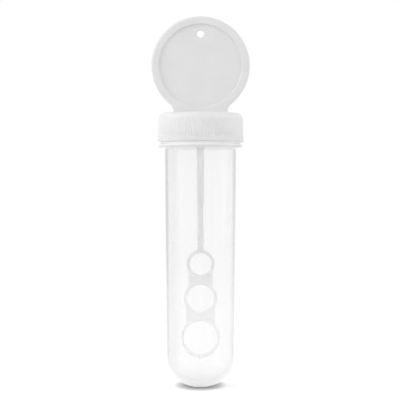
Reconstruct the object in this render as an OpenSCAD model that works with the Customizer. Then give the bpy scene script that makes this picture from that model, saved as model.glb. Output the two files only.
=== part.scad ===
// Bubble wand in its tube: a clear round-bottomed tube, a ribbed screw cap with an upright
// round disc on top, a sealing liner, and a three-ring wand that hangs from the cap.
// Millimetres, +Z up along the tube, origin at the middle of the tube's foot, disc facing -Y.

/* [Tube] */
// How far the tube's side stands out past the neck, just under the collar
tube_out = 0.9; // [0.2:0.05:1.5]
// How far the side leans in from the collar to where the rounded bottom starts
tube_lean = 0.8; // [0.3:0.05:1.4]
// Height of the collar's underside above the foot
tube_h = 90.1; // [84:0.1:130]
// Thickness of the side wall
tube_wall = 1.2; // [0.8:0.1:1.6]
// Thickness of the floor in the middle
tube_floor = 1.6; // [1:0.1:3]
// How much tighter the rounding above the dished bottom is than the tube's own radius
knuckle_in = 1.5; // [1:0.1:4]
// How much larger the dished bottom's radius is than the tube's own radius
dish_out = 2; // [0.5:0.1:10]
// Diameter of the small flat that the tube stands on
foot_d = 6; // [4:0.5:9]

/* [Neck] */
// How far the collar's edge lies inside the cap's ribs
collar_in = 0.2; // [-1:0.1:1]
// Height of the collar
collar_h = 1.9; // [0.8:0.1:3]
// Height of the collar's upright edge
collar_edge_h = 0.6; // [0.2:0.1:0.7]
// How far the collar's sloped upper side runs in
collar_slope = 1.1; // [0.4:0.1:2]
// Thickness of the neck's wall behind its thread
neck_wall = 1.35; // [1:0.05:2]
// Height of the slope inside, where the tube narrows to the mouth
throat_h = 1.6; // [0.8:0.1:5]
// Width of the bevel round the lip
lip_bevel = 0.35; // [0.1:0.05:0.6]

/* [Thread] */
// Rise of the thread in one turn
thread_pitch = 4.2; // [3.9:0.1:4.6]
// How far a ridge stands out from its wall
thread_depth = 1; // [0.7:0.05:1.2]
// Height of a ridge at its root
thread_root_h = 2; // [1.6:0.1:2.1]
// Height of a ridge at its crest
thread_crest_h = 0.8; // [0.4:0.1:1]
// Turns of the ridge on the neck and of the one in the cap
thread_turns = 1.1; // [0.7:0.05:1.15]
// Height of the middle of the cap's ridge, where it starts, above the cap's lower edge
thread_start = 1.7; // [1.3:0.1:2]
// Distance from the lip down to the upper end of the neck's ridge
thread_below_lip = 0.4; // [0.2:0.1:0.8]
// Room between the threads, along the axis and across it
thread_gap = 0.3; // [0.2:0.05:0.4]

/* [Cap] */
// Height of the cap
cap_h = 10.9; // [10.4:0.1:14]
// Outside diameter over the ribs, at their lower end
cap_d = 32.4; // [28:0.1:40]
// How far the ribbed side leans in from its lower end to its upper end
cap_lean = 0.2; // [0:0.05:0.4]
// How far the plain band at the lower edge stands out past the ribs
band_out = 0.1; // [0.05:0.05:0.4]
// Height of the plain band
band_h = 1.5; // [0.8:0.1:3]
// Radius of the rounded upper edge
cap_round = 2.6; // [1.6:0.1:3]
// Thickness of the cap's side behind the grooves
cap_wall = 1.75; // [1:0.05:2.5]
// Thickness of the cap's top
cap_top = 1.4; // [1:0.1:2.4]
// Count of ribs round the cap
rib_count = 112; // [60:1:132]
// Depth of the grooves between the ribs
rib_depth = 0.3; // [0.15:0.05:0.5]
// Gap between the collar and the cap's lower edge
cap_gap = 0.4; // [0.4:0.1:2]
// Diameter of the boss under the cap's top
boss_d = 9; // [8:0.1:12]
// How far the boss hangs below the cap's top
boss_h = 7; // [6.6:0.1:9]
// Rounding at the boss's lower edge
boss_bevel = 0.4; // [0.2:0.1:0.8]

/* [Disc] */
// Diameter of the disc
disc_d = 37.2; // [32:0.1:46]
// Thickness of the rim
disc_t = 3.2; // [2.4:0.1:5]
// Width of the rim round the recess
rim_w = 3; // [2:0.1:5]
// Depth of the recess on each face
recess_depth = 0.8; // [0.3:0.1:1]
// Bevel round the rim's outer edges
rim_bevel = 0.4; // [0.2:0.05:0.8]
// How much of the circle the flat foot cuts off
disc_cut = 0.7; // [0.3:0.1:1.5]
// Width of the foot
disc_foot_w = 20.6; // [14:0.1:24]
// Diameter of the hanging hole
hang_d = 2.8; // [2:0.1:5]
// Distance from the recess's edge in to the middle of the hanging hole
hang_in = 3.7; // [3:0.1:6]
// Width of the tongue that sits in the cap
tongue_w = 5.6; // [4:0.1:6.4]
// Thickness of the tongue
tongue_t = 2; // [1.4:0.1:2.4]
// Length of the tongue
tongue_h = 3.2; // [2:0.1:3.4]

/* [Wand] */
// Diameter of the peg that sits in the cap's boss
peg_d = 3; // [2.4:0.1:4]
// Length of the peg
peg_h = 3.8; // [2.6:0.1:4]
// Diameter of the shoulder under the boss
shoulder_d = 4.8; // [4.2:0.1:6]
// Thickness of the shoulder
shoulder_h = 0.8; // [0.5:0.1:1.5]
// Diameter of the stem at the shoulder
stem_top_d = 2.7; // [2:0.1:4]
// Diameter of the stem at the upper ring
stem_low_d = 2.2; // [1.6:0.1:2.4]
// Distance from the tube's floor up to the point under the lower ring
wand_clear = 8.85; // [4:0.05:20]
// Diameter of the upper ring's hole
upper_hole_d = 8.2; // [5:0.1:9]
// Diameter of the middle ring's hole
middle_hole_d = 10.2; // [7:0.1:10.8]
// Diameter of the lower ring's hole
lower_hole_d = 12.5; // [9:0.1:13.4]
// Distance between the middles of the upper and middle rings
upper_step = 12.9; // [12.4:0.1:15]
// Distance between the middles of the middle and lower rings
lower_step = 14.9; // [14.4:0.1:16]
// Width of a ring's own stock, seen from the front
ring_w = 1.2; // [0.8:0.1:1.6]
// Thickness of the rings, front to back
ring_t = 2.4; // [1.6:0.1:4]
// Bevel along the rings' edges
ring_bevel = 0.3; // [0.1:0.05:0.4]
// Width of the web between the upper and middle rings
upper_web_w = 9.1; // [6:0.1:10]
// Width of the web between the middle and lower rings
lower_web_w = 10.7; // [7:0.1:12]
// Thickness of the webs, front to back
web_t = 1.5; // [1:0.1:2.2]
// Width of the small point under the lower ring
tip_w = 1.4; // [0.8:0.1:2]
// How far the point stands out
tip_h = 0.5; // [0.2:0.1:1]

/* [Liner] */
// Thickness of the liner
liner_t = 1; // [0.6:0.1:1.6]
// Room round the liner, inside and outside
liner_gap = 0.3; // [0.2:0.05:0.6]

/* [Fits] */
// Room round the tongue and the peg in their sockets
socket_gap = 0.05; // [0.02:0.01:0.1]
// Room past the ends of the tongue and the peg
socket_end_gap = 0.2; // [0.1:0.05:0.3]

/* [Hidden] */
$fn = 96;

// How far cuts run past the faces they open
overrun = 1;
// How far a thread ridge reaches into the wall that carries it
thread_sink = 0.4;
// Degrees between two sections of a thread ridge, and over which it runs out at its ends
thread_step = 9;
thread_runout = 36;
// Where a groove's mouth and floor start and end, as shares of the rib spacing
groove_shares = [0.28, 0.4, 0.6, 0.72];

// From the cap's outside in to its bore, the neck, the mouth and the tube below
rib_low_r = cap_d / 2;
rib_top_r = rib_low_r - cap_lean;
groove_r = rib_top_r - rib_depth;
band_r = rib_low_r + band_out;
cap_bore_r = groove_r - cap_wall;
cap_crest_r = cap_bore_r - thread_depth;
neck_r = cap_crest_r - thread_gap;
mouth_r = neck_r - neck_wall;
collar_r = rib_low_r - collar_in;
tube_top_r = neck_r + tube_out;
tube_low_r = tube_top_r - tube_lean;
knuckle_r = tube_low_r - knuckle_in;
dish_r = tube_low_r + dish_out;
foot_r = foot_d / 2;
boss_r = boss_d / 2;

// The dish's lowest point lies below the foot by what the flat cuts off
dish_low_z = sqrt(dish_r * dish_r - foot_r * foot_r) - dish_r;
collar_top_z = tube_h + collar_h;
cap_low_z = collar_top_z + cap_gap;
cap_top_z = cap_low_z + cap_h;
cap_inside_z = cap_top_z - cap_top;
lip_z = cap_inside_z - liner_t;
boss_low_z = cap_inside_z - boss_h;

// The cap's ridge sits one ridge and the gap under the neck's, on the same helix
ridge_drop = (thread_root_h + thread_crest_h) / 2 + thread_gap;
cap_thread_z = cap_low_z + thread_start;
neck_thread_z = lip_z - thread_below_lip - thread_root_h / 2 - thread_turns * thread_pitch;
neck_thread_deg = 360 * (neck_thread_z - cap_thread_z - ridge_drop) / thread_pitch;

disc_r = disc_d / 2;
recess_r = disc_r - rim_w;
disc_z = cap_top_z + disc_r - disc_cut;
hang_z = disc_z + recess_r - hang_in;
web_half = disc_t / 2 - recess_depth;

// The wand's rings stand above the tube's floor
ring_low_z = tube_floor + wand_clear + tip_h;
lower_z = ring_low_z + ring_w + lower_hole_d / 2;
middle_z = lower_z + lower_step;
upper_z = middle_z + upper_step;

// The part of a circle between two angles, to be revolved or extruded
module sector(radius, from_deg, to_deg) {
    reach = radius / cos((to_deg - from_deg) / 2) + overrun;
    intersection() {
        circle(radius);
        polygon([
            [0, 0],
            [reach * cos(from_deg), reach * sin(from_deg)],
            [reach * cos(to_deg), reach * sin(to_deg)]
        ]);
    }
}

// A round bottom up to the level where its side starts: a dish and a knuckle that meet smoothly
function knuckle_z(side_r, round_r, dish, low_z) =
    low_z + dish - sqrt(pow(dish - round_r, 2) - pow(side_r - round_r, 2));

module round_bottom(side_r, round_r, dish, low_z) {
    round_x = side_r - round_r;
    round_z = knuckle_z(side_r, round_r, dish, low_z);
    meet_deg = atan2(round_z - dish - low_z, round_x);
    translate([0, low_z + dish])
        sector(dish, -90, meet_deg);
    translate([round_x, round_z])
        sector(round_r, meet_deg, 0);
}

// A ridge with a four-cornered section, swept along a right-hand helix and run out at both ends
module thread_ridge(wall_r, crest_r, start_z, start_deg) {
    out = sign(crest_r - wall_r);
    sink_r = wall_r - out * thread_sink;
    low_r = wall_r - out * thread_sink / 2;
    steps = ceil(thread_turns * 360 / thread_step);
    step_deg = thread_turns * 360 / steps;
    run = thread_runout / step_deg;
    half_root = thread_root_h / 2;
    half_crest = thread_crest_h / 2;
    points = [
        for (i = [0 : steps])
            let (
                a = start_deg + i * step_deg,
                z = start_z + thread_pitch * i * step_deg / 360,
                rise = min(1, i / run, (steps - i) / run),
                r = low_r + (crest_r - low_r) * rise
            )
            for (p = [[sink_r, -half_root], [r, -half_crest], [r, half_crest], [sink_r, half_root]])
                [p[0] * cos(a), p[0] * sin(a), z + p[1]]
    ];
    sides = [
        for (i = [0 : steps - 1], k = [0 : 3])
            let (
                a = 4 * i + k,
                b = 4 * i + (k + 1) % 4,
                quad = [[a, b, b + 4], [a, b + 4, a + 4]]
            )
            for (t = quad)
                out > 0 ? t : [t[2], t[1], t[0]]
    ];
    first = [[0, 2, 1], [0, 3, 2]];
    last = [for (t = first) [for (k = [2 : -1 : 0]) t[k] + 4 * steps]];
    ends = concat(first, last);
    polyhedron(points, concat(sides, [for (t = ends) out > 0 ? t : [t[2], t[1], t[0]]]));
}

// The tube with its collar, neck, mouth and outside thread
module tube() {
    inner_low_r = tube_low_r - tube_wall;
    inner_top_r = tube_top_r - tube_wall;
    inner_knuckle_r = knuckle_r - tube_wall;
    inner_dish_r = dish_r - tube_wall;
    side_z = knuckle_z(tube_low_r, knuckle_r, dish_r, dish_low_z);
    inner_side_z = knuckle_z(inner_low_r, inner_knuckle_r, inner_dish_r, tube_floor);
    color([0.94, 0.95, 0.97, 0.4]) {
        rotate_extrude()
            difference() {
                union() {
                    round_bottom(tube_low_r, knuckle_r, dish_r, dish_low_z);
                    polygon([
                        [0, side_z],
                        [tube_low_r, side_z],
                        [tube_top_r, tube_h],
                        [collar_r, tube_h],
                        [collar_r, tube_h + collar_edge_h],
                        [collar_r - collar_slope, collar_top_z],
                        [neck_r, collar_top_z],
                        [neck_r, lip_z - lip_bevel],
                        [neck_r - lip_bevel, lip_z],
                        [0, lip_z]
                    ]);
                }
                round_bottom(inner_low_r, inner_knuckle_r, inner_dish_r, tube_floor);
                polygon([
                    [0, inner_side_z],
                    [inner_low_r, inner_side_z],
                    [inner_top_r, tube_h - throat_h],
                    [mouth_r, tube_h],
                    [mouth_r, lip_z + overrun],
                    [0, lip_z + overrun]
                ]);
                translate([0, dish_low_z - overrun])
                    square([tube_low_r, overrun - dish_low_z]);
            }
        thread_ridge(neck_r, neck_r + thread_depth, neck_thread_z, neck_thread_deg);
    }
}

// The cap's outside: ribs cut into a body with a rounded upper edge and a plain band below
module cap_outside() {
    corner_r = rib_top_r - cap_round;
    corner_z = cap_h - cap_round;
    clear_r = band_r + overrun;
    spacing = 360 / rib_count;
    radii = [clear_r, groove_r, groove_r, clear_r];
    translate([0, 0, cap_low_z])
        intersection() {
            rotate_extrude() {
                polygon([
                    [0, 0],
                    [band_r, 0],
                    [band_r, band_h],
                    [rib_low_r, band_h],
                    [rib_top_r, corner_z],
                    [corner_r, corner_z],
                    [corner_r, cap_h],
                    [0, cap_h]
                ]);
                translate([corner_r, corner_z])
                    sector(cap_round, 0, 90);
            }
            union() {
                cylinder(r = clear_r, h = band_h);
                linear_extrude(cap_h + overrun)
                    polygon([
                        for (i = [0 : rib_count - 1], k = [0 : 3])
                            let (a = spacing * (i + groove_shares[k]))
                            radii[k] * [cos(a), sin(a)]
                    ]);
            }
        }
}

// The screw cap with its inside thread and a boss with a socket on each side
module screw_cap() {
    pocket_h = tongue_h + socket_end_gap;
    socket_h = peg_h + socket_end_gap;
    pocket_w = tongue_w + 2 * socket_gap;
    pocket_t = tongue_t + 2 * socket_gap;
    color([0.93, 0.93, 0.93]) {
        difference() {
            cap_outside();
            rotate_extrude()
                polygon([
                    [0, cap_low_z - overrun],
                    [cap_bore_r, cap_low_z - overrun],
                    [cap_bore_r, cap_inside_z],
                    [boss_r, cap_inside_z],
                    [boss_r, boss_low_z + boss_bevel],
                    [boss_r - boss_bevel, boss_low_z],
                    [0, boss_low_z]
                ]);
            translate([-pocket_w / 2, -pocket_t / 2, cap_top_z - pocket_h])
                cube([pocket_w, pocket_t, pocket_h + overrun]);
            translate([0, 0, boss_low_z - overrun])
                cylinder(d = peg_d + 2 * socket_gap, h = socket_h + overrun);
        }
        thread_ridge(cap_bore_r, cap_crest_r, cap_thread_z, 0);
    }
}

// The flat ring that seals the lip
module sealing_liner() {
    color([0.97, 0.97, 0.95])
        translate([0, 0, lip_z])
            difference() {
                cylinder(r = cap_bore_r - liner_gap, h = liner_t);
                translate([0, 0, -overrun])
                    cylinder(r = boss_r + liner_gap, h = liner_t + 2 * overrun);
            }
}

// The upright disc with its recesses, hanging hole, foot and tongue
module top_disc() {
    half_t = disc_t / 2;
    foot_top_z = disc_z - sqrt(disc_r * disc_r - pow(disc_foot_w / 2, 2));
    color([0.92, 0.92, 0.92]) {
        difference() {
            union() {
                translate([0, 0, disc_z])
                    rotate([90, 0, 0])
                        rotate_extrude()
                            polygon([
                                [0, -half_t],
                                [disc_r - rim_bevel, -half_t],
                                [disc_r, -half_t + rim_bevel],
                                [disc_r, half_t - rim_bevel],
                                [disc_r - rim_bevel, half_t],
                                [0, half_t]
                            ]);
                translate([-disc_foot_w / 2, -half_t, cap_top_z])
                    cube([disc_foot_w, disc_t, foot_top_z + rim_bevel - cap_top_z]);
            }
            for (side = [-1, 1])
                translate([0, side * (web_half + half_t), disc_z])
                    rotate([90, 0, 0])
                        cylinder(r = recess_r, h = disc_t, center = true);
            translate([0, 0, hang_z])
                rotate([90, 0, 0])
                    cylinder(d = hang_d, h = disc_t, center = true);
            translate([-disc_r, -disc_t, cap_top_z - disc_r])
                cube([disc_d, 2 * disc_t, disc_r]);
        }
        translate([-tongue_w / 2, -tongue_t / 2, cap_top_z - tongue_h])
            cube([tongue_w, tongue_t, tongue_h + disc_cut]);
    }
}

// One ring of the wand, facing front and back
module wand_ring(hole_d, mid_z) {
    hole_r = hole_d / 2;
    outer_r = hole_r + ring_w;
    half_t = ring_t / 2;
    translate([0, 0, mid_z])
        rotate([90, 0, 0])
            rotate_extrude()
                polygon([
                    [hole_r, ring_bevel - half_t],
                    [hole_r + ring_bevel, -half_t],
                    [outer_r - ring_bevel, -half_t],
                    [outer_r, ring_bevel - half_t],
                    [outer_r, half_t - ring_bevel],
                    [outer_r - ring_bevel, half_t],
                    [hole_r + ring_bevel, half_t],
                    [hole_r, half_t - ring_bevel]
                ]);
}

// The flat web between two rings, opened where their holes are
module wand_web(width, low_mid_z, low_hole_d, high_mid_z, high_hole_d) {
    rotate([90, 0, 0])
        linear_extrude(web_t, center = true)
            difference() {
                translate([-width / 2, low_mid_z])
                    square([width, high_mid_z - low_mid_z]);
                translate([0, low_mid_z])
                    circle(d = low_hole_d + ring_w);
                translate([0, high_mid_z])
                    circle(d = high_hole_d + ring_w);
            }
}

// The wand: peg, shoulder, stem, three rings, two webs and the small point below
module ring_wand() {
    stem_low_z = upper_z + (upper_hole_d + ring_w) / 2;
    color([0.9, 0.91, 0.92]) {
        translate([0, 0, boss_low_z - shoulder_h])
            cylinder(d = peg_d, h = peg_h + shoulder_h);
        translate([0, 0, boss_low_z - shoulder_h])
            cylinder(d = shoulder_d, h = shoulder_h);
        translate([0, 0, stem_low_z])
            cylinder(d1 = stem_low_d, d2 = stem_top_d, h = boss_low_z - shoulder_h - stem_low_z);
        wand_ring(upper_hole_d, upper_z);
        wand_ring(middle_hole_d, middle_z);
        wand_ring(lower_hole_d, lower_z);
        wand_web(upper_web_w, middle_z, middle_hole_d, upper_z, upper_hole_d);
        wand_web(lower_web_w, lower_z, lower_hole_d, middle_z, middle_hole_d);
        translate([-tip_w / 2, -web_t / 2, ring_low_z - tip_h])
            cube([tip_w, web_t, tip_h + ring_w / 2]);
    }
}

tube();
screw_cap();
sealing_liner();
top_disc();
ring_wand();
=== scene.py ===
# Looks of a bubble wand in its screw-topped tube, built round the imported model.
# Metres, +Z up, the disc faces -Y. Sizes in the dictionaries are in millimetres.
import math

import bpy
import numpy as np
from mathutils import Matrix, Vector


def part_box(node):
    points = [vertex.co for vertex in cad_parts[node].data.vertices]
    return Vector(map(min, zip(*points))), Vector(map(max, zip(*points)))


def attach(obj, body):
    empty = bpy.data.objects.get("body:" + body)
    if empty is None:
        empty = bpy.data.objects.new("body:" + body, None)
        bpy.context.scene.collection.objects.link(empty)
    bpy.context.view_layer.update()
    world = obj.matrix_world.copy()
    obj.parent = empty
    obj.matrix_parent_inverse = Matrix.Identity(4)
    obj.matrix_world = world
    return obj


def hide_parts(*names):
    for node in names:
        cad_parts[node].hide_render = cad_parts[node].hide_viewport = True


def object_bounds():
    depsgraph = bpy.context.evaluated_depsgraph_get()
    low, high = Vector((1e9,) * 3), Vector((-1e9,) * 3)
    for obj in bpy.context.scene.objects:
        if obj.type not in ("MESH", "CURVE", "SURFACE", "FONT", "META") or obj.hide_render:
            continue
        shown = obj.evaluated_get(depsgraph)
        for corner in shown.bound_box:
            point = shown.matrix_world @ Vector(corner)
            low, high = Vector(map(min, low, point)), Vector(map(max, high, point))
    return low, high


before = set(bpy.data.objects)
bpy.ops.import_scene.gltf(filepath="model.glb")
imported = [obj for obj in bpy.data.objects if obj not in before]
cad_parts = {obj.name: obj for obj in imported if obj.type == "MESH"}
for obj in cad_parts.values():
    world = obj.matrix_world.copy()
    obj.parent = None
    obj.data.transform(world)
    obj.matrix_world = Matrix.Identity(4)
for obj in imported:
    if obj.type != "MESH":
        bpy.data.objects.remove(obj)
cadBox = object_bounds()
scene = bpy.context.scene
mm = 0.001
nearEnough = 0.01  # millimetres; sizes this close count as the same
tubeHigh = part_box("tube")[1] / mm
capLow, capHigh = (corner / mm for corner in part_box("screw_cap"))
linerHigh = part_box("sealing_liner")[1] / mm
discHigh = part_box("top_disc")[1] / mm
wandLow, wandHigh = (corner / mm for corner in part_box("ring_wand"))
print("frame loaded:", ", ".join(sorted(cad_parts)))


# Paths and meshes

def roundPath(corners, closed=False, stepDeg=12, support=0.12):
    # corners are (x, y, rounding); each rounding becomes an arc with a spare point on both sides
    count = len(corners)
    path = []
    for i, (x, y, rounding) in enumerate(corners):
        here = Vector((x, y))
        atEnd = not closed and i in (0, count - 1)
        if atEnd or rounding == 0:
            path.append((x, y))
            continue
        back = Vector(corners[i - 1][:2]) - here
        ahead = Vector(corners[(i + 1) % count][:2]) - here
        opening = back.angle(ahead)
        run = rounding / math.tan(opening / 2)
        reach = min(back.length, ahead.length)
        back.normalize()
        ahead.normalize()
        middle = here + (back + ahead).normalized() * rounding / math.sin(opening / 2)
        start = here + back * run - middle
        turn = math.pi - opening
        steps = max(2, math.ceil(math.degrees(turn) / stepDeg))
        side = 1 if back.x * ahead.y - back.y * ahead.x < 0 else -1
        if run + support < reach:
            path.append(tuple(here + back * (run + support)))
        for k in range(steps + 1):
            a = side * turn * k / steps
            path.append((
                middle.x + start.x * math.cos(a) - start.y * math.sin(a),
                middle.y + start.x * math.sin(a) + start.y * math.cos(a),
            ))
        if run + support < reach:
            path.append(tuple(here + ahead * (run + support)))
    return path


def fillGaps(path, gapAt):
    # long straight stretches get more points, no further apart than gapAt says there
    filled = [path[0]]
    for (x0, y0), (x1, y1) in zip(path, path[1:]):
        length = math.hypot(x1 - x0, y1 - y0)
        gap = gapAt((x0 + x1) / 2, (y0 + y1) / 2)
        parts = max(1, math.ceil(length / gap))
        for k in range(1, parts + 1):
            filled.append((x0 + (x1 - x0) * k / parts, y0 + (y1 - y0) * k / parts))
    return filled


def bridgeRings(rings, closed=False):
    # faces between neighbouring rings of point numbers; a ring of one point is a pole
    faces = []
    pairs = list(zip(rings, rings[1:]))
    if closed:
        pairs.append((rings[-1], rings[0]))
    for first, second in pairs:
        count = max(len(first), len(second))
        for j in range(count):
            k = (j + 1) % count
            if len(first) == 1:
                faces.append((first[0], second[k], second[j]))
            elif len(second) == 1:
                faces.append((first[j], first[k], second[0]))
            else:
                faces.append((first[j], first[k], second[k], second[j]))
    return faces


def lathe(profile, segments, closed=False, reshape=None):
    # profile is (radius, z) in millimetres, up the outside and down the inside
    angles = np.linspace(0, 2 * math.pi, segments, endpoint=False)
    points = []
    rings = []
    for radius, z in profile:
        first = len(points)
        if radius == 0:
            points.append((0.0, 0.0, z))
            rings.append([first])
            continue
        radii = np.full(segments, radius) if reshape is None else reshape(radius, z, angles)
        points.extend(zip(radii * np.cos(angles), radii * np.sin(angles), np.full(segments, z)))
        rings.append(list(range(first, first + segments)))
    return np.array(points), bridgeRings(rings, closed)


def smoothShade(mesh, sharpDeg):
    mesh.shade_smooth()
    mesh.set_sharp_from_angle(angle=math.radians(sharpDeg))


def makePiece(name, points, faces, material, sharpDeg):
    mesh = bpy.data.meshes.new(name)
    mesh.from_pydata((np.array(points) * mm).tolist(), [], faces)
    mesh.materials.append(material)
    smoothShade(mesh, sharpDeg)
    piece = bpy.data.objects.new(name, mesh)
    scene.collection.objects.link(piece)
    return piece


def bakeModifiers(piece, sharpDeg):
    # the evaluated shape becomes the piece's own plain mesh
    graph = bpy.context.evaluated_depsgraph_get()
    mesh = bpy.data.meshes.new_from_object(piece.evaluated_get(graph))
    piece.modifiers.clear()
    piece.data = mesh
    smoothShade(mesh, sharpDeg)
    print(piece.name, "mesh:", len(mesh.polygons), "faces")


# Materials

noiseMid = (0.3, 0.7)  # most of a noise's values lie between these


def newMaterial(name):
    material = bpy.data.materials.new(name)
    material.use_nodes = True
    tree = material.node_tree
    coords = tree.nodes.new("ShaderNodeTexCoord")
    return material, tree, tree.nodes["Principled BSDF"], coords.outputs["Object"]


def setInputs(node, **values):
    for name, value in values.items():
        node.inputs[name.replace("_", " ")].default_value = value


def addNoise(tree, coords, scale, detail, stretch=(1, 1, 1)):
    mapping = tree.nodes.new("ShaderNodeMapping")
    mapping.inputs["Scale"].default_value = stretch
    noise = tree.nodes.new("ShaderNodeTexNoise")
    setInputs(noise, Scale=scale, Detail=detail)
    tree.links.new(coords, mapping.inputs["Vector"])
    tree.links.new(mapping.outputs["Vector"], noise.inputs["Vector"])
    return noise.outputs["Fac"]


def mapRange(tree, value, fromLow, fromHigh, toLow, toHigh, kind="LINEAR"):
    node = tree.nodes.new("ShaderNodeMapRange")
    node.interpolation_type = kind
    setInputs(node, From_Min=fromLow, From_Max=fromHigh, To_Min=toLow, To_Max=toHigh)
    tree.links.new(value, node.inputs["Value"])
    return node.outputs["Result"]


def addMath(tree, operation, first, second=None):
    node = tree.nodes.new("ShaderNodeMath")
    node.operation = operation
    for socket, value in zip(node.inputs, (first, second)):
        if isinstance(value, (int, float)):
            socket.default_value = value
        elif value is not None:
            tree.links.new(value, socket)
    return node.outputs["Value"]


def times(tree, first, second):
    return addMath(tree, "MULTIPLY", first, second)


def larger(tree, first, second):
    return addMath(tree, "MAXIMUM", first, second)


def mixColours(tree, share, first, second):
    node = tree.nodes.new("ShaderNodeMix")
    node.data_type = "RGBA"
    for socket, colour in zip(node.inputs[6:8], (first, second)):  # the two colour sockets
        if isinstance(colour, tuple):
            socket.default_value = (*colour, 1)
        else:
            tree.links.new(colour, socket)
    tree.links.new(share, node.inputs[0])
    return node.outputs[2]


def addBump(tree, heights, normalInput, strength, depth):
    bump = tree.nodes.new("ShaderNodeBump")
    setInputs(bump, Strength=strength, Distance=depth * mm)
    tree.links.new(heights, bump.inputs["Height"])
    tree.links.new(bump.outputs["Normal"], normalInput)


def splitCoords(tree, coords):
    apart = tree.nodes.new("ShaderNodeSeparateXYZ")
    tree.links.new(coords, apart.inputs["Vector"])
    return apart.outputs


def heightShare(tree, coords, levels, low, high):
    # a value that goes from low to high between two levels on the piece
    lowZ, highZ = levels
    z = splitCoords(tree, coords)["Z"]
    return mapRange(tree, z, lowZ * mm, highZ * mm, low, high, "SMOOTHSTEP")


mouldedWhite = dict(
    toneMid=(0.35, 0.65),
    cloudDetail=4,
    grainScale=3800,
    grainDetail=2,
    grainStrength=0.5,
    grainDepth=0.012,
    ior=1.49,
    underReach=6.0,
)

capWhite = mouldedWhite | dict(
    pale=(0.85, 0.85, 0.847),
    shade=(0.82, 0.82, 0.818),
    roughLow=0.34,
    roughHigh=0.46,
    cloudScale=160,
    lightUnder=1.0,
    # painted light on the cap: a highlight on the top edge, a lighter top and a lighter lower edge
    paintedLightShare=0.9,
    paintedLightTone=(0.95, 0.95, 0.948),
    topHighlightFromZ=(102.3, 102.9),
    topHighlightToZ=(103.2, 103.29),
    lowEdgeLightZ=(92.8, 93.9),
    topLightZ=(95, 101),
    topLightShare=0.5,
)

discWhite = mouldedWhite | dict(
    pale=(0.782, 0.782, 0.780),
    shade=(0.757, 0.757, 0.755),
    roughLow=0.30,
    roughHigh=0.42,
    cloudScale=90,
    lightUnder=0.0,
    paintedLightShare=0.0,
)


def mouldedPlastic(name, look):
    # opaque white moulding: faint clouding, a satin grain and, in the cap, light under the skin and
    # painted light on its top and lower edge
    material, tree, shader, coords = newMaterial(name)
    clouds = addNoise(tree, coords, look["cloudScale"], look["cloudDetail"])
    share = mapRange(tree, clouds, *look["toneMid"], 0, 1, "SMOOTHSTEP")
    tone = mixColours(tree, share, look["shade"], look["pale"])
    paintedLight = look["paintedLightShare"]
    if paintedLight:
        # painted light: a painted highlight along the top edge, paler towards the top as if lit from
        # above, and paler along the lower edge to lift the shade there
        upperFrom = heightShare(tree, coords, look["topHighlightFromZ"], 0, paintedLight)
        upperTo = heightShare(tree, coords, look["topHighlightToZ"], 1, 0)
        lower = heightShare(tree, coords, look["lowEdgeLightZ"], paintedLight, 0)
        topLight = heightShare(tree, coords, look["topLightZ"], 0, look["topLightShare"])
        paler = larger(tree, times(tree, upperFrom, upperTo), lower)
        paler = larger(tree, paler, topLight)
        tone = mixColours(tree, paler, tone, look["paintedLightTone"])
    rough = mapRange(tree, clouds, *noiseMid, look["roughLow"], look["roughHigh"])
    grain = addNoise(tree, coords, look["grainScale"], look["grainDetail"])
    tree.links.new(tone, shader.inputs["Base Color"])
    tree.links.new(rough, shader.inputs["Roughness"])
    addBump(tree, grain, shader.inputs["Normal"], look["grainStrength"], look["grainDepth"])
    setInputs(
        shader,
        IOR=look["ior"],
        Subsurface_Weight=look["lightUnder"],
        Subsurface_Scale=look["underReach"] * mm,
        Subsurface_Radius=(1, 1, 1),
    )
    return material


clearTube = dict(
    tone=(0.95, 0.95, 0.95),
    # the edge tone and the left-side shares below are painted shade
    edgeShadeTone=(0.42, 0.42, 0.42),
    haze=0.065,
    edgeShadeOpacity=0.52,
    edgeFacing=(0.48, 0.74),
    edgeThinZ=(15, 75),
    edgeThinShare=0.62,
    edgeFadeZ=(2, 14),
    edgeSideX=8,
    leftEdgeShadeShare=1.16,
    rightEdgeShadeShare=0.84,
    leftShadeFacing=(0.02, 0.38),
    leftShadeShare=0.27,
    leftShadeX=-11,
    neckZ=(89.55, 89.95),
    threadZ=(92.5, 93.3),
    neckShare=0.25,
    throatZ=(87.35, 89.75),
    throatHaze=0.09,
    bottomZ=(1.2, 9.0),
    bottomHaze=0.16,
    collarFootZ=(90.0, 90.1),
    collarRimZ=(90.85, 91.1),
    collarTopZ=(92.37, 92.47),
    collarHaze=0.92,
    collarInside=0.15,
    # painted shade on the collar's lower rim, and how much of it stays above the rim
    collarRimShade=0.45,
    collarRimShadeAbove=0.08,
    takenTone=(0.5, 0.5, 0.5, 1),
    takenPerMetre=24,
    ior=1.47,
    gloss=0.2,
    roughLow=0.06,
    roughHigh=0.14,
    streakScale=420,
    streakDetail=3,
    streakStretch=(1, 1, 0.08),
    streakShare=0.15,
    waveStrength=0.3,
    waveDepth=0.02,
)


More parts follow.
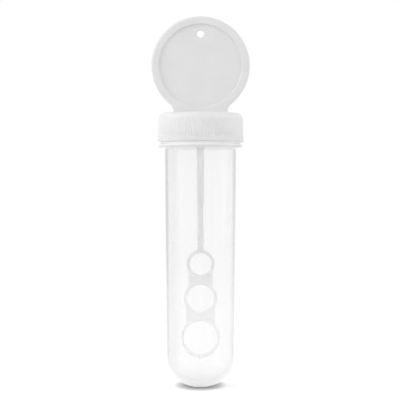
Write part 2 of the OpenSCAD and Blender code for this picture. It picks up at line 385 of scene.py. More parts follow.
def milkyClearPlastic(name, look):
    # see-through wall: painted shade makes it greyer where its outer skin is seen edge on, standing in
    # for the darker surroundings seen through the wall there, and darker on the left; milky in the
    # collar and bottom
    material, tree, shader, coords = newMaterial(name)

    def atHeight(levels, low, high):
        return heightShare(tree, coords, look[levels], low, high)

    streaks = addNoise(tree, coords, look["streakScale"], look["streakDetail"], look["streakStretch"])
    weight = tree.nodes.new("ShaderNodeLayerWeight")
    setInputs(weight, Blend=0.5)
    facing = weight.outputs["Facing"]
    acrossX = splitCoords(tree, coords)["X"]
    sideX = look["edgeSideX"] * mm
    skinMark = tree.nodes.new("ShaderNodeAttribute")
    skinMark.attribute_name = "outerSkin"
    outerSkin = skinMark.outputs["Fac"]
    geometry = tree.nodes.new("ShaderNodeNewGeometry")
    backSide = geometry.outputs["Backfacing"]

    # painted shade: a narrow grey haze along both sides, darker on the left, and a broad faint one on
    # the left, both gone at the bottom
    edge = mapRange(tree, facing, *look["edgeFacing"], 0, 1, "SMOOTHSTEP")
    thin = atHeight("edgeThinZ", look["edgeThinShare"], 1)
    sideShade = mapRange(tree, acrossX, -sideX, sideX, look["leftEdgeShadeShare"], look["rightEdgeShadeShare"])
    edge = times(tree, edge, times(tree, thin, sideShade))
    broadLeftShade = mapRange(tree, facing, *look["leftShadeFacing"], 0, look["leftShadeShare"], "SMOOTHSTEP")
    leftShadeSpan = mapRange(tree, acrossX, look["leftShadeX"] * mm, 0, 1, 0, "SMOOTHSTEP")
    edge = larger(tree, edge, times(tree, broadLeftShade, leftShadeSpan))
    edge = times(tree, edge, atHeight("edgeFadeZ", 0, 1))

    # weaker between the tube's shoulder and the thread, and only on the outer skin
    below = atHeight("neckZ", 1, look["neckShare"])
    above = atHeight("threadZ", look["neckShare"], 1)
    neck = larger(tree, below, above)
    edge = times(tree, edge, times(tree, neck, outerSkin))
    patchy = mapRange(tree, streaks, *noiseMid, 1 - look["streakShare"], 1 + look["streakShare"])
    haze = times(tree, mapRange(tree, edge, 0, 1, look["haze"], look["edgeShadeOpacity"]), patchy)
    throat = atHeight("throatZ", 0, look["throatHaze"])
    haze = larger(tree, times(tree, haze, neck), throat)
    bottom = atHeight("bottomZ", look["bottomHaze"], 0)

    # the collar is nearly opaque from outside, with painted shade on its lower rim
    collar = times(tree, atHeight("collarFootZ", 0, look["collarHaze"]), atHeight("collarTopZ", 1, 0))
    collar = times(tree, collar, outerSkin)
    collar = times(tree, collar, mapRange(tree, backSide, 0, 1, 1, look["collarInside"]))
    rimFoot = atHeight("collarFootZ", 0, look["collarRimShade"])
    rim = times(tree, rimFoot, atHeight("collarRimZ", 1, look["collarRimShadeAbove"]))
    paintedShade = larger(tree, edge, rim)
    milky = larger(tree, haze, larger(tree, bottom, collar))

    rough = mapRange(tree, streaks, *noiseMid, look["roughLow"], look["roughHigh"])
    tree.links.new(mixColours(tree, paintedShade, look["tone"], look["edgeShadeTone"]), shader.inputs["Base Color"])
    tree.links.new(milky, shader.inputs["Alpha"])
    tree.links.new(rough, shader.inputs["Roughness"])
    addBump(tree, streaks, shader.inputs["Normal"], look["waveStrength"], look["waveDepth"])
    setInputs(shader, IOR=look["ior"])

    # gloss on the side that faces out, and a little light taken inside the wall
    shine = tree.nodes.new("ShaderNodeBsdfGlossy")
    setInputs(shine, Color=(1, 1, 1, 1), Roughness=look["gloss"])
    mirror = tree.nodes.new("ShaderNodeFresnel")
    setInputs(mirror, IOR=look["ior"])
    frontSide = addMath(tree, "SUBTRACT", 1, backSide)
    skin = tree.nodes.new("ShaderNodeMixShader")
    tree.links.new(times(tree, mirror.outputs[0], frontSide), skin.inputs[0])
    tree.links.new(shader.outputs[0], skin.inputs[1])
    tree.links.new(shine.outputs[0], skin.inputs[2])
    inside = tree.nodes.new("ShaderNodeVolumeAbsorption")
    setInputs(inside, Color=look["takenTone"], Density=look["takenPerMetre"])
    output = tree.nodes["Material Output"]
    tree.links.new(skin.outputs[0], output.inputs["Surface"])
    tree.links.new(inside.outputs[0], output.inputs["Volume"])
    return material


wandWhite = dict(
    # painted light and shade: the tone goes from lighter low down to darker up the stem, lighter again
    # under the cap
    ringLitTone=(0.968, 0.968, 0.970),
    stemShadeTone=(0.82, 0.82, 0.822),
    ringClear=0.84,
    stemClear=0.78,
    shadeRiseZ=(14, 64),
    underCapLiftZ=(72, 91),
    underCapLiftShare=0.25,
    cloudShare=0.2,
    cloudScale=260,
    cloudDetail=4,
    roughLow=0.55,
    roughHigh=0.68,
    grainScale=3000,
    grainDetail=2,
    grainStrength=0.4,
    grainDepth=0.012,
    ior=1.25,
)


def translucentWhite(name, look):
    # thin white moulding that lets light through, more so in the slim rings than in the stem; painted
    # light and shade make its tone lighter towards the bottom and just under the cap, and darker up the
    # stem
    material, tree, shader, coords = newMaterial(name)
    clouds = addNoise(tree, coords, look["cloudScale"], look["cloudDetail"])
    uneven = mapRange(tree, clouds, *noiseMid, -look["cloudShare"], look["cloudShare"])
    # painted light and shade by height
    up = heightShare(tree, coords, look["shadeRiseZ"], 0, 1)
    up = times(tree, up, heightShare(tree, coords, look["underCapLiftZ"], 1, look["underCapLiftShare"]))
    tone = mixColours(tree, addMath(tree, "ADD", up, uneven), look["ringLitTone"], look["stemShadeTone"])
    clear = mapRange(tree, up, 0, 1, look["ringClear"], look["stemClear"])
    rough = mapRange(tree, clouds, *noiseMid, look["roughLow"], look["roughHigh"])
    grain = addNoise(tree, coords, look["grainScale"], look["grainDetail"])
    tree.links.new(tone, shader.inputs["Base Color"])
    tree.links.new(rough, shader.inputs["Roughness"])
    tree.links.new(clear, shader.inputs["Transmission Weight"])
    addBump(tree, grain, shader.inputs["Normal"], look["grainStrength"], look["grainDepth"])
    setInputs(shader, IOR=look["ior"])
    return material


linerFoam = dict(
    pale=(0.86, 0.86, 0.85),
    shade=(0.78, 0.78, 0.765),
    roughLow=0.7,
    roughHigh=0.9,
    cellScale=2600,
    cellStrength=0.6,
    cellDepth=0.06,
)


def closedCellFoam(name, look):
    material, tree, shader, coords = newMaterial(name)
    cells = tree.nodes.new("ShaderNodeTexVoronoi")
    setInputs(cells, Scale=look["cellScale"])
    tree.links.new(coords, cells.inputs["Vector"])
    heights = cells.outputs["Distance"]
    rough = mapRange(tree, heights, 0, 1, look["roughLow"], look["roughHigh"])
    tree.links.new(mixColours(tree, heights, look["pale"], look["shade"]), shader.inputs["Base Color"])
    tree.links.new(rough, shader.inputs["Roughness"])
    addBump(tree, heights, shader.inputs["Normal"], look["cellStrength"], look["cellDepth"])
    return material


capFinish = mouldedPlastic("capPlastic", capWhite)
discFinish = mouldedPlastic("discPlastic", discWhite)
tubeFinish = milkyClearPlastic("tubePlastic", clearTube)
wandFinish = translucentWhite("wandPlastic", wandWhite)
foamFinish = closedCellFoam("linerFoam", linerFoam)
print("materials made")


# Threads

threadSizes = dict(
    pitch=4.2,
    depth=1.0,
    rootHeight=2.0,
    crestHeight=0.8,
    turns=1.1,
    runOutDeg=36,
)


def threadRise(z, angles, startZ, startDeg):
    # how far the ridge stands out from its wall at this height, all the way round
    size = threadSizes
    total = size["turns"] * 360
    rise = np.zeros(len(angles))
    fromStart = (np.degrees(angles) - startDeg) % 360
    flank = (size["rootHeight"] - size["crestHeight"]) / 2
    for lap in range(math.ceil(size["turns"])):
        along = fromStart + 360 * lap
        away = np.abs(z - startZ - size["pitch"] * along / 360)
        share = np.clip((size["rootHeight"] / 2 - away) / flank, 0, 1)
        runOut = np.clip(np.minimum(along, total - along) / size["runOutDeg"], 0, 1)
        rise = np.maximum(rise, size["depth"] * runOut * share * share * (3 - 2 * share))
    return rise


# The tube

tubeShape = dict(
    neckRadius=12.65,
    neckWall=1.35,
    neckRound=0.3,
    lipRound=0.4,
    lipTurn=0.1,
    tubeOut=0.9,
    lean=0.8,
    wall=1.2,
    floorThick=1.6,
    floorStart=0.5,
    knuckleIn=1.5,
    dishOut=2.0,
    footRadius=3.0,
    gateRadius=1.1,
    gateRun=0.3,
    gateRise=0.22,
    gateRound=0.15,
    collarLowZ=90.0,
    collarRise=2.37,
    collarEdge=1.1,
    collarSlope=1.8,
    collarLean=0.65,
    underRound=0.15,
    rimLowRound=0.12,
    rimHighRound=0.15,
    shoulderRound=0.25,
    shoulderTopRound=0.05,
    throat=1.6,
    throatRound=0.9,
    threadBelowLip=0.4,
    threadStartDeg=-78.9,
    threadGap=0.18,
    wallGap=2.5,
    segments=192,
    sharpDeg=38,
)


def roundBottom(sideRadius, knuckle, dish, lowZ, startRadius):
    # a dish and a tighter knuckle that meet smoothly, from startRadius out to the side
    knuckleX = sideRadius - knuckle
    dishZ = lowZ + dish
    knuckleZ = dishZ - math.sqrt((dish - knuckle) ** 2 - knuckleX ** 2)
    meet = math.atan2(knuckleZ - dishZ, knuckleX)
    first = -math.acos(startRadius / dish)
    dishSteps = 14
    knuckleSteps = 22
    path = []
    for k in range(dishSteps):
        a = first + (meet - first) * k / dishSteps
        path.append((dish * math.cos(a), dishZ + dish * math.sin(a)))
    for k in range(knuckleSteps + 1):
        a = meet * (1 - k / knuckleSteps)
        path.append((knuckleX + knuckle * math.cos(a), knuckleZ + knuckle * math.sin(a)))
    return path


def makeTube(size):
    neck = size["neckRadius"]
    mouth = neck - size["neckWall"]
    topRadius = neck + size["tubeOut"]
    lowRadius = topRadius - size["lean"]
    wall = size["wall"]
    dish = lowRadius + size["dishOut"]
    knuckle = lowRadius - size["knuckleIn"]
    foot = size["footRadius"]
    dishLow = math.sqrt(dish ** 2 - foot ** 2) - dish
    collar = tubeHigh.x
    collarIn = collar - size["collarLean"]
    collarLow = size["collarLowZ"]
    collarTop = collarLow + size["collarRise"]
    lip = tubeHigh.z
    floorTop = size["floorThick"]
    outside = roundBottom(lowRadius, knuckle, dish, dishLow, foot)
    inside = roundBottom(lowRadius - wall, knuckle - wall, dish - wall, floorTop, size["floorStart"])
    gate = size["gateRadius"]
    underside = roundPath([
        (0, size["gateRise"], 0),
        (gate, size["gateRise"], size["gateRound"]),
        (gate + size["gateRun"], 0, size["gateRound"]),
        (*outside[0], 0),
    ])
    upper = roundPath([
        (*outside[-1], 0),
        (topRadius, collarLow, size["underRound"]),
        (collar, collarLow, size["rimLowRound"]),
        (collar, collarLow + size["collarEdge"], size["rimHighRound"]),
        (collarIn, collarLow + size["collarSlope"], size["shoulderRound"]),
        (collarIn, collarTop, size["shoulderTopRound"]),
        (neck, collarTop, size["neckRound"]),
        (neck, lip, size["lipRound"]),
        (mouth, lip, size["lipRound"]),
        (mouth, collarLow, size["throatRound"]),
        (topRadius - wall, collarLow - size["throat"], size["throatRound"]),
        (*inside[-1], 0),
    ])

    def gapAt(radius, z):
        return size["threadGap"] if z > collarTop and radius > mouth else size["wallGap"]

    profile = underside + outside[1:] + fillGaps(upper, gapAt)[1:] + inside[-2::-1]
    profile.append((0, floorTop))
    startZ = lip - size["threadBelowLip"] - threadSizes["rootHeight"] / 2
    startZ -= threadSizes["turns"] * threadSizes["pitch"]

    def withThread(radius, z, angles):
        if radius < neck - nearEnough or not collarTop < z < lip:
            return np.full(len(angles), radius)
        return np.maximum(radius, neck + threadRise(z, angles, startZ, size["threadStartDeg"]))

    points, faces = lathe(profile, size["segments"], reshape=withThread)
    piece = makePiece("tubeShell", points, faces, tubeFinish, size["sharpDeg"])
    # the outer skin is marked up to the row where the lip turns in
    lipIn = neck - size["lipTurn"]
    lipRow = next(k for k, (radius, z) in enumerate(profile) if z > collarTop and radius < lipIn)
    outerSkin = np.zeros(len(points), np.float32)
    outerSkin[:1 + (lipRow - 1) * size["segments"]] = 1
    marks = piece.data.attributes.new("outerSkin", "FLOAT", "POINT")
    marks.data.foreach_set("value", outerSkin)
    return piece


tube = makeTube(tubeShape)
print("tube made:", len(tube.data.polygons), "faces")


# The screw cap, with its ribs pressed in by Geometry Nodes

capShape = dict(
    ribLowRadius=16.2,
    ribTopRadius=16.0,
    grooveRadius=15.85,
    ribCount=112,
    ribPower=1.4,
    facesPerRib=6,
    bandHeight=1.5,
    bandFade=0.45,
    bandLowRound=0.08,
    bandTopRound=0.09,
    topRound=2.6,
    boreRadius=13.95,
    boreRound=0.5,
    ceilingRound=0.4,
    bossRadius=4.5,
    bossLowZ=94.9,
    bossRound=0.4,
    threadStart=1.7,
    ribGap=0.5,
    threadGap=0.3,
    plainGap=1.6,
    axisGuard=0.1,
    sharpDeg=50,
)


def ribTree(size):
    # pulls the skin in along upright grooves, wherever it stands out past the groove floor
    tree = bpy.data.node_groups.new("capRibs", "GeometryNodeTree")
    sockets = {}
    wanted = (
        ("Shape", "NodeSocketGeometry", None),
        ("Rib Count", "NodeSocketInt", size["ribCount"]),
        ("Groove Radius", "NodeSocketFloat", size["grooveRadius"] * mm),
        ("Groove Start", "NodeSocketFloat", (capLow.z + size["bandHeight"]) * mm),
        ("Groove Fade", "NodeSocketFloat", size["bandFade"] * mm),
        ("Finish", "NodeSocketMaterial", capFinish),
    )
    for name, kind, value in wanted:
        socket = tree.interface.new_socket(name, in_out="INPUT", socket_type=kind)
        sockets[socket.identifier] = value
    tree.interface.new_socket("Shape", in_out="OUTPUT", socket_type="NodeSocketGeometry")

    def calc(operation, first, second=None):
        return addMath(tree, operation, first, second)

    given = tree.nodes.new("NodeGroupInput").outputs
    place = tree.nodes.new("GeometryNodeInputPosition")
    x, y, z = splitCoords(tree, place.outputs["Position"])
    radius = calc("SQRT", calc("ADD", calc("MULTIPLY", x, x), calc("MULTIPLY", y, y)))
    turn = calc("MULTIPLY", calc("ARCTAN2", y, x), given["Rib Count"])
    wave = calc("SUBTRACT", 0.5, calc("MULTIPLY", calc("COSINE", turn), 0.5))
    rounded = calc("POWER", wave, size["ribPower"])
    above = calc("DIVIDE", calc("SUBTRACT", z, given["Groove Start"]), given["Groove Fade"])
    fade = calc("MINIMUM", calc("MAXIMUM", above, 0.0), 1.0)
    proud = calc("MAXIMUM", calc("SUBTRACT", radius, given["Groove Radius"]), 0.0)
    pull = calc("MULTIPLY", calc("MULTIPLY", proud, rounded), fade)
    offAxis = calc("MAXIMUM", radius, size["axisGuard"] * mm)
    share = calc("DIVIDE", calc("MULTIPLY", pull, -1.0), offAxis)
    shift = tree.nodes.new("ShaderNodeCombineXYZ")
    tree.links.new(calc("MULTIPLY", x, share), shift.inputs["X"])
    tree.links.new(calc("MULTIPLY", y, share), shift.inputs["Y"])
    move = tree.nodes.new("GeometryNodeSetPosition")
    real = tree.nodes.new("GeometryNodeRealizeInstances")
    finish = tree.nodes.new("GeometryNodeSetMaterial")
    result = tree.nodes.new("NodeGroupOutput")
    tree.links.new(given["Shape"], move.inputs["Geometry"])
    tree.links.new(shift.outputs["Vector"], move.inputs["Offset"])
    tree.links.new(move.outputs["Geometry"], real.inputs["Geometry"])
    tree.links.new(real.outputs["Geometry"], finish.inputs["Geometry"])
    tree.links.new(given["Finish"], finish.inputs["Material"])
    tree.links.new(finish.outputs["Geometry"], result.inputs["Shape"])
    return tree, sockets


def makeCap(size):
    base = capLow.z
    top = capHigh.z
    ceiling = linerHigh.z
    bandTop = base + size["bandHeight"]
    bore = size["boreRadius"]
    boss = size["bossRadius"]
    profile = roundPath([
        (0, size["bossLowZ"], 0),
        (boss, size["bossLowZ"], size["bossRound"]),
        (boss, ceiling, size["ceilingRound"]),
        (bore, ceiling, size["ceilingRound"]),
        (bore, base, size["boreRound"]),
        (capHigh.x, base, size["bandLowRound"]),
        (capHigh.x, bandTop, size["bandTopRound"]),
        (size["ribLowRadius"], bandTop, 0),
        (size["ribTopRadius"], top, size["topRound"]),
        (0, top, 0),
    ])

    def gapAt(radius, z):
        if radius > size["grooveRadius"] and z > bandTop:
            return size["ribGap"]
        threaded = bore - nearEnough < radius < bore + nearEnough
        return size["threadGap"] if threaded else size["plainGap"]

    startZ = base + size["threadStart"]

    def withThread(radius, z, angles):
        if abs(radius - bore) > nearEnough or not base < z < ceiling:
            return np.full(len(angles), radius)
        return bore - threadRise(z, angles, startZ, 0)

    segments = size["ribCount"] * size["facesPerRib"]
    points, faces = lathe(fillGaps(profile, gapAt), segments, reshape=withThread)
    cap = makePiece("screwCap", points, faces, capFinish, size["sharpDeg"])
    tree, values = ribTree(size)
    ribs = cap.modifiers.new("ribs", "NODES")
    ribs.node_group = tree
    for identifier, value in values.items():
        if value is not None:
            ribs[identifier] = value
    bakeModifiers(cap, size["sharpDeg"])
    return cap


cap = makeCap(capShape)


# The upright disc

discShape = dict(
    cut=0.7,
    footWidth=20.6,
    footCorner=0.6,
    footFillet=3.2,
    rimWidth=3.0,
    recessDepth=0.8,
    edgeRound=0.9,
    edgeFootShare=0.15,
    edgeFootReach=5.0,
    edgeSupport=0.15,
    recessRound=0.5,
    floorRound=0.2,
    recessSupport=0.12,
    hangRadius=1.4,
    hangIn=3.7,
    hangRound=0.2,
    hangSupport=0.1,
    arcSteps=180,
    footSteps=24,
    filletSteps=10,
    roundSteps=6,
    sharpDeg=32,
)


def discOutline(size, radius):
    # from the foot's middle round to the right and over the top: foot, corner, fillet, circle
    depth = radius - size["cut"]
    side = size["footWidth"] / 2
    bend = size["footFillet"]
    bendX = side + bend
    bendZ = -math.sqrt((radius + bend) ** 2 - bendX ** 2)
    leave = math.atan2(bendX, -bendZ)
    foot = roundPath([(0, -depth, 0), (side, -depth, size["footCorner"]), (side, bendZ, 0)])
    right = fillGaps(foot, lambda x, z: side / size["footSteps"])
    filletSteps = size["filletSteps"]
    for k in range(1, filletSteps):
        a = math.pi + (math.pi / 2 - leave) * -k / filletSteps
        right.append((bendX + bend * math.cos(a), bendZ + bend * math.sin(a)))
    for k in range(size["arcSteps"] + 1):
        a = leave + (math.pi - leave) * k / size["arcSteps"]
        right.append((radius * math.sin(a), -radius * math.cos(a)))
    left = [(-x, z) for x, z in reversed(right[1:-1])]
    outline = np.array(right + left)
    return np.arctan2(outline[:, 0], -outline[:, 1]), outline


def insetOutline(outline, inset):
    # moves each point in along the mean of its two edges' normals
    def normals(edge):
        turned = np.stack([-edge[:, 1], edge[:, 0]], axis=1)
        return turned / np.linalg.norm(turned, axis=1)[:, None]

    before = normals(outline - np.roll(outline, 1, axis=0))
    after = normals(np.roll(outline, -1, axis=0) - outline)
    mean = before + after
    mean = mean / np.linalg.norm(mean, axis=1)[:, None]
    stretch = np.sum(mean * before, axis=1)[:, None]
    return outline + inset * mean / stretch


def makeDisc(size):
    radius = discHigh.x
    middleZ = discHigh.z - radius
    half = discHigh.y
    floorY = half - size["recessDepth"]
    recess = radius - size["rimWidth"]
    hang = size["hangRadius"]
    hangUp = recess - size["hangIn"]
    angles, outline = discOutline(size, radius)
    compass = np.stack([np.sin(angles), -np.cos(angles)], axis=1)
    # the edge's rounding is tighter at the foot, whose corners are small
    footZ = size["cut"] - radius
    nearFoot = [footZ, footZ + size["edgeFootReach"]]
    tight = np.interp(outline[:, 1], nearFoot, [size["edgeFootShare"], 1])[:, None]

    def circle(r, up=0.0):
        return compass * r + np.array([0.0, up])

    steps = size["roundSteps"]
    quarter = [math.radians(90 * k / steps) for k in range(steps + 1)]
    edge = size["edgeRound"]
    lip = size["recessRound"]
    inner = size["floorRound"]
    hole = size["hangRound"]
    # loops over the front half, from the outer edge to the hanging hole, each with its depth
    loops = []
    for a in quarter:
        inset = edge * (1 - math.cos(a)) * tight
        loops.append((insetOutline(outline, inset), half - edge + edge * math.sin(a)))
    loops.append((insetOutline(outline, (edge + size["edgeSupport"]) * tight), half))
    loops.append((circle(recess + lip + size["recessSupport"]), half))
    for a in quarter:
        loops.append((circle(recess + lip * (1 - math.sin(a))), half - lip + lip * math.cos(a)))
    for a in quarter:
        loops.append((circle(recess - inner * (1 - math.cos(a))), floorY + inner * (1 - math.sin(a))))
    loops.append((circle(recess - inner - size["recessSupport"]), floorY))
    loops.append((circle(hang + hole + size["hangSupport"], hangUp), floorY))
    for a in quarter:
        wide = circle(hang + hole * (1 - math.sin(a)), hangUp)
        loops.append((wide, floorY - hole + hole * math.cos(a)))
    front = [np.stack([p[:, 0], np.full(len(p), -y), p[:, 1] + middleZ], axis=1) for p, y in loops]
    back = [loop * np.array([1, -1, 1]) for loop in reversed(front)]
    count = len(angles)
    rings = [list(range(i * count, (i + 1) * count)) for i in range(len(front) * 2)]
    points = np.concatenate(front + back)
    return makePiece("topDisc", points, bridgeRings(rings, True), discFinish, size["sharpDeg"])


disc = makeDisc(discShape)
print("disc made:", len(disc.data.polygons), "faces")


# The ring wand

wandShape = dict(
    holeRadii=(4.1, 5.1, 6.25),
    middlesZ=(46.2, 33.3, 18.4),
    ringWidth=1.2,
    ringThick=2.4,
    ringRound=0.42,
    ringStepDeg=18,
    ringSegments=128,
    webWidths=(9.1, 10.7),
    webThick=1.5,
    webRound=0.45,
    webStepDeg=15,
    webSteps=8,
    webClear=0.3,
    stemTop=1.35,
    stemLow=1.1,
    stemFlare=0.55,
    stemStart=0.5,
    stemRound=0.5,
    stemSegments=64,
    flareHeight=2.0,
    flareSteps=8,
    shoulderRadius=2.4,
    shoulderHeight=0.8,
    shoulderLowRound=0.2,
    shoulderTopRound=0.1,
    pegRadius=1.5,
    pegRound=0.3,
    tipRadius=0.7,
    tipRound=0.35,
    tipSegments=32,
    weldGap=0.001,
    sharpDeg=35,
)


def roundedBar(low, high, half, bend, stepDeg):
    # a flat section between two sides, with its four corners rounded
    corners = [(high, -half, bend), (high, half, bend), (low, half, bend), (low, -half, bend)]
    return roundPath(corners, closed=True, stepDeg=stepDeg)


def wandRing(size, hole, middleZ):
    outer = hole + size["ringWidth"]
    section = roundedBar(hole, outer, size["ringThick"] / 2, size["ringRound"], size["ringStepDeg"])
    points, faces = lathe(section, size["ringSegments"], closed=True)
    upright = np.stack([points[:, 0], -points[:, 2], points[:, 1] + middleZ], axis=1)
    return upright, faces


def wandWeb(size, width, upperRing, lowerRing):
    # a flat with rounded sides; its ends follow the two rings and lie inside their stock
    stock = size["ringWidth"] / 2
    half = size["webThick"] / 2
    side = width / 2
    bend = size["webRound"]
    digits = 6
    section = roundedBar(-side, side, half, bend, size["webStepDeg"])
    (upperHole, upperZ), (lowerHole, lowerZ) = upperRing, lowerRing
    front = [p for p in section if p[1] < 0]
    front.sort()
    xs = np.array([p[0] for p in front])
    steps = np.linspace(xs[0], xs[-1], size["webSteps"])[1:-1]
    inner = steps[np.abs(steps) < side - bend - size["webClear"]]
    depthAt = {round(p[0], digits): p[1] for p in front}
    xs = np.unique(np.round(np.concatenate([xs, inner]), digits))
    ys = np.array([depthAt.get(x, -half) for x in xs])
    low = lowerZ + np.sqrt((lowerHole + stock) ** 2 - xs ** 2)
    high = upperZ - np.sqrt((upperHole + stock) ** 2 - xs ** 2)
    count = len(xs)
    corners = [(low, ys), (low, -ys), (high, -ys), (high, ys)]
    points = np.concatenate([np.stack([xs, y, z], axis=1) for z, y in corners])
    rows = [list(range(i * count, (i + 1) * count)) for i in range(4)]
    faces = []
    for i in range(4):
        here, there = rows[i], rows[(i + 1) % 4]
        for j in range(count - 1):
            faces.append((here[j], there[j], there[j + 1], here[j + 1]))
    faces.append(tuple(row[0] for row in reversed(rows)))
    faces.append(tuple(row[-1] for row in rows))
    return points, faces


def wandStem(size):
    # flared foot in the first ring, slim stem, shoulder under the cap's boss, and the peg
    ringTop = size["middlesZ"][0] + size["holeRadii"][0] + size["ringWidth"]
    bottom = ringTop - size["ringWidth"] / 2
    shoulderTop = capShape["bossLowZ"]
    shoulderLow = shoulderTop - size["shoulderHeight"]
    profile = [(0, bottom)]
    steps = size["flareSteps"]
    for k in range(steps + 1):
        up = k / steps
        flare = size["stemFlare"] * (1 - up) ** 2
        profile.append((size["stemLow"] + flare, bottom + size["flareHeight"] * up))
    profile += roundPath([
        (size["stemLow"], bottom + size["flareHeight"] + size["stemStart"], 0),
        (size["stemTop"], shoulderLow, size["stemRound"]),
        (size["shoulderRadius"], shoulderLow, size["shoulderLowRound"]),
        (size["shoulderRadius"], shoulderTop, size["shoulderTopRound"]),
        (size["pegRadius"], shoulderTop, 0),
        (size["pegRadius"], wandHigh.z, size["pegRound"]),
        (0, wandHigh.z, 0),
    ])
    return lathe(profile, size["stemSegments"])


def wandTip(size):
    top = size["middlesZ"][2] - size["holeRadii"][2] - size["ringWidth"] / 2
    tip = size["tipRadius"]
    profile = roundPath([
        (0, wandLow.z, 0),
        (tip, wandLow.z, size["tipRound"]),
        (tip, top, 0),
        (0, top, 0),
    ])
    return lathe(profile, size["tipSegments"])


def makeWand(size):
    rings = list(zip(size["holeRadii"], size["middlesZ"]))
    neighbours = zip(rings, rings[1:])
    shapes = [wandRing(size, *ring) for ring in rings]
    shapes += [wandWeb(size, width, *pair) for width, pair in zip(size["webWidths"], neighbours)]
    shapes.append(wandTip(size))
    points, faces = wandStem(size)
    wand = makePiece("ringWand", points, faces, wandFinish, size["sharpDeg"])
    helpers = []
    for k, (points, faces) in enumerate(shapes):
        helper = makePiece(f"wandShape{k}", points, faces, wandFinish, size["sharpDeg"])
        join = wand.modifiers.new(f"join{k}", "BOOLEAN")
        join.operation = "UNION"
        join.solver = "EXACT"
        join.object = helper
        helpers.append(helper)
    weld = wand.modifiers.new("weld", "WELD")
    weld.merge_threshold = size["weldGap"] * mm
    bakeModifiers(wand, size["sharpDeg"])
    for helper in helpers:
        bpy.data.objects.remove(helper)
    return wand


wand = makeWand(wandShape)


# Finish on the liner, and what carries each piece

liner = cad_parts["sealing_liner"]
liner.data.materials.clear()
liner.data.materials.append(foamFinish)

carried = (
    (tube, "bottle", "tube", "tube_plastic"),
    (cap, "lid", "screw_cap", "cap_plastic"),
    (disc, "lid", "top_disc", "disc_plastic"),
    (wand, "lid", "ring_wand", "wand_plastic"),
)
for piece, body, node, slot in carried:
    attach(piece, body)
    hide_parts(node)
print("pieces placed on their bodies")


# Floor, light and camera; places, reaches and lamp sizes are in metres here

studio = dict(
    floorReach=6.0,
    floorFade=(0.5, 2.5),
    floorTone=0.80,
    floorGlow=0.265,
    # size and falloff of the painted shadow under the tube
    contactShadowWide=0.0104,
    contactShadowDeep=0.025,
    contactShadowBack=0.005,
    contactShadowPower=1.5,
    skyLow=0.78,
    skyHigh=1.0,
    skyToward=(-0.75, -0.45, 0.48),
)

softLamps = dict(
    leftKey=dict(place=(-0.85, -0.30, 0.45), size=0.5, power=1.6),
    rightFill=dict(place=(0.85, -0.15, 0.30), size=0.6, power=0.65),
)

plainWhite = (1, 1, 1, 1)
noDepth = 0.5  # a ray depth below this is zero


def seenDirectly(tree):
    # 1 for what the camera sees straight, mirrored or through something clear, else 0
    path = tree.nodes.new("ShaderNodeLightPath")
    seen = larger(tree, path.outputs["Is Camera Ray"], path.outputs["Is Glossy Ray"])
    seen = larger(tree, seen, path.outputs["Is Transmission Ray"])
    return times(tree, seen, addMath(tree, "LESS_THAN", path.outputs["Diffuse Depth"], noDepth))


def mixShaders(tree, share, first, second):
    mix = tree.nodes.new("ShaderNodeMixShader")
    tree.links.new(share, mix.inputs[0])
    tree.links.new(first.outputs[0], mix.inputs[1])
    tree.links.new(second.outputs[0], mix.inputs[2])
    return mix.outputs[0]


def lengthOf(tree, vector):
    node = tree.nodes.new("ShaderNodeVectorMath")
    node.operation = "LENGTH"
    tree.links.new(vector, node.inputs[0])
    return node.outputs["Value"]


def makeWorld(size):
    # soft light, a little stronger from the upper left; seen directly it is plain white
    world = bpy.data.worlds.new("studioWorld")
    world.use_nodes = True
    tree = world.node_tree
    tree.nodes.clear()
    output = tree.nodes.new("ShaderNodeOutputWorld")
    light = tree.nodes.new("ShaderNodeBackground")
    white = tree.nodes.new("ShaderNodeBackground")
    setInputs(light, Color=plainWhite)
    setInputs(white, Color=plainWhite, Strength=1)
    coords = tree.nodes.new("ShaderNodeTexCoord")
    toward = tree.nodes.new("ShaderNodeVectorMath")
    toward.operation = "DOT_PRODUCT"
    toward.inputs[1].default_value = Vector(size["skyToward"]).normalized()
    tree.links.new(coords.outputs["Generated"], toward.inputs[0])
    level = mapRange(tree, toward.outputs["Value"], -1, 1, size["skyLow"], size["skyHigh"], "SMOOTHSTEP")
    tree.links.new(level, light.inputs["Strength"])
    tree.links.new(mixShaders(tree, seenDirectly(tree), light, white), output.inputs["Surface"])
    scene.world = world


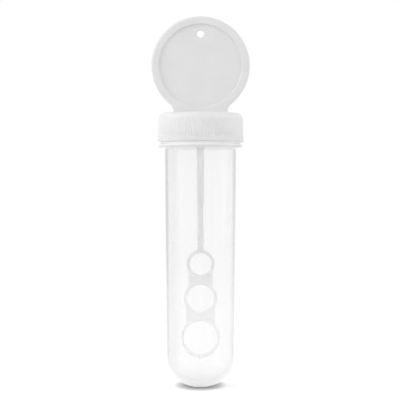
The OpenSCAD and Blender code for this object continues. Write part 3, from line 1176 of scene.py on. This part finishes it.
def floorMaterial(size):
    material = bpy.data.materials.new("paleFloor")
    material.use_nodes = True
    tree = material.node_tree
    tree.nodes.clear()
    output = tree.nodes.new("ShaderNodeOutputMaterial")
    coords = tree.nodes.new("ShaderNodeTexCoord").outputs["Object"]
    path = tree.nodes.new("ShaderNodeLightPath")
    seen = seenDirectly(tree)

    # a painted shadow close under the tube, only where the floor is seen bare
    shadowPatch = tree.nodes.new("ShaderNodeMapping")
    shadowPatch.vector_type = "TEXTURE"
    shadowPatch.inputs["Location"].default_value = (0, size["contactShadowBack"], 0)
    shadowPatch.inputs["Scale"].default_value = (size["contactShadowWide"], size["contactShadowDeep"], 1)
    tree.links.new(coords, shadowPatch.inputs["Vector"])
    bare = addMath(tree, "LESS_THAN", path.outputs["Transparent Depth"], noDepth)
    bare = times(tree, path.outputs["Is Camera Ray"], bare)
    hidden = addMath(tree, "SUBTRACT", 1, bare)
    near = mapRange(tree, lengthOf(tree, shadowPatch.outputs["Vector"]), 0, 1, 0, 1)
    shade = larger(tree, addMath(tree, "POWER", near, size["contactShadowPower"]), hidden)

    # pale and matt, with a lift that brings it up to the white background
    matt = tree.nodes.new("ShaderNodeBsdfDiffuse")
    pale = (size["floorTone"],) * 3
    tree.links.new(mixColours(tree, shade, (0, 0, 0), pale), matt.inputs["Color"])
    glow = tree.nodes.new("ShaderNodeEmission")
    setInputs(glow, Color=plainWhite)
    lift = times(tree, seen, size["floorGlow"])
    tree.links.new(times(tree, lift, shade), glow.inputs["Strength"])
    both = tree.nodes.new("ShaderNodeAddShader")
    tree.links.new(matt.outputs[0], both.inputs[0])
    tree.links.new(glow.outputs[0], both.inputs[1])

    # far out it fades into that white
    gone = mapRange(tree, lengthOf(tree, coords), *size["floorFade"], 0, 1, "SMOOTHSTEP")
    white = tree.nodes.new("ShaderNodeEmission")
    setInputs(white, Color=plainWhite, Strength=1)
    tree.links.new(mixShaders(tree, times(tree, gone, seen), both, white), output.inputs["Surface"])
    return material


def makeFloor(size):
    reach = size["floorReach"]
    corners = [(-reach, -reach, 0), (reach, -reach, 0), (reach, reach, 0), (-reach, reach, 0)]
    mesh = bpy.data.meshes.new("floor")
    mesh.from_pydata(corners, [], [(0, 1, 2, 3)])
    mesh.materials.append(floorMaterial(size))
    floor = bpy.data.objects.new("floor", mesh)
    scene.collection.objects.link(floor)


def makeLamp(name, size):
    light = bpy.data.lights.new(name, "AREA")
    light.shape = "DISK"
    light.size = size["size"]
    light.energy = size["power"]
    lamp = bpy.data.objects.new(name, light)
    lamp.location = size["place"]
    aim = Vector((0, 0, cadBox[1].z / 2)) - lamp.location
    lamp.rotation_euler = aim.to_track_quat("-Z", "Y").to_euler()
    scene.collection.objects.link(lamp)


cameraPlace = dict(
    side=-0.0002,
    back=0.700,
    height=0.0704,
    lens=166.6,
    sensor=36,
    clipStart=0.01,
)


def makeCamera(size):
    lens = bpy.data.cameras.new("camera")
    lens.lens = size["lens"]
    lens.sensor_width = size["sensor"]
    lens.clip_start = size["clipStart"]
    camera = bpy.data.objects.new("camera", lens)
    camera.location = (size["side"], -size["back"], size["height"])
    camera.rotation_euler = (math.pi / 2, 0, 0)
    scene.collection.objects.link(camera)
    scene.camera = camera


makeWorld(studio)
makeFloor(studio)
for lampName, lampSize in softLamps.items():
    makeLamp(lampName, lampSize)
makeCamera(cameraPlace)
scene.view_settings.view_transform = "Standard"
print("floor, light and camera placed")
